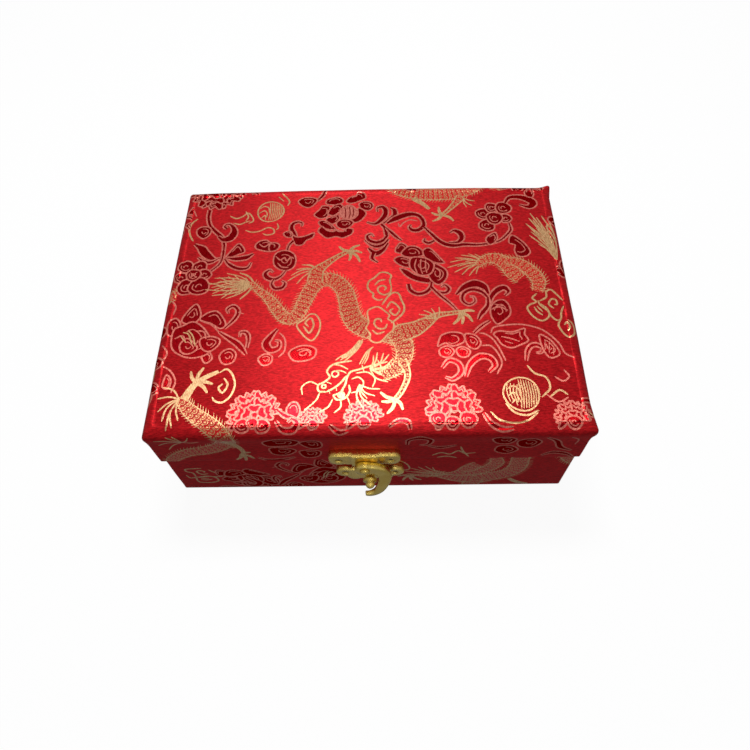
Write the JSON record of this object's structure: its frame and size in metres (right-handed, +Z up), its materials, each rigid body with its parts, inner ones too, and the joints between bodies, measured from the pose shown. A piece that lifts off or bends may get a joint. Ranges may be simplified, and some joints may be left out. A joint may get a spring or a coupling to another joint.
{
  "type": "brocade keepsake box",
  "caption": "Board box covered in woven brocade, with a padded lid on a cloth hinge, a satin lining and a swinging horn-hook clasp.",
  "frame": {"origin": "centre of the underside, in the plane that the box rests on", "axes": "+X along the width, to the right of a person facing the clasp; +Y from the clasp to the hinge; +Z up"},
  "size_m": [0.168, 0.1365, 0.0581],
  "materials": {
    "board": "matte",
    "brocade": "satin",
    "lining": "satin",
    "satin": "satin",
    "foam": "matte",
    "paper": "matte",
    "brass": "polished",
    "nail": "satin"
  },
  "bodies": {
    "base": {"base_floor_board": "board", "base_front_wall": "board", "base_back_wall": "board", "base_left_wall": "board", "base_right_wall": "board", "base_brocade": "brocade", "underside_paper": "paper", "base_front_lining": "lining", "base_back_lining": "lining", "base_left_lining": "lining", "base_right_lining": "lining", "base_pad_foam": "foam", "base_pad_satin": "satin", "base_plate": "brass", "base_plate_nails": "nail", "clasp_post": "brass", "hinge_cloth": "brocade", "inner_hinge_cloth": "satin"},
    "lid": {"lid_top_board": "board", "lid_front_wall": "board", "lid_back_wall": "board", "lid_left_wall": "board", "lid_right_wall": "board", "lid_sponge": "foam", "lid_brocade": "brocade", "lid_front_lining": "lining", "lid_back_lining": "lining", "lid_left_lining": "lining", "lid_right_lining": "lining", "lid_pad_foam": "foam", "lid_pad_satin": "satin", "lid_plate": "brass", "lid_plate_nails": "nail", "hook_rivet": "brass"},
    "hook": {"clasp_hook": "brass"}
  },
  "joints": [
    {"name": "lid_hinge", "type": "hinge", "parent": "base", "child": "lid", "pos_m": [0, 0.06295, 0.03215], "axis": [-1, 0, 0], "range_deg": [0, 110], "deforming": ["hinge_cloth", "inner_hinge_cloth"]},
    {"name": "hook_swivel", "type": "hinge", "parent": "lid", "child": "hook", "pos_m": [-0.0016, -0.0675, 0.035], "axis": [0, -1, 0], "range_deg": [0, 250]}
  ]
}
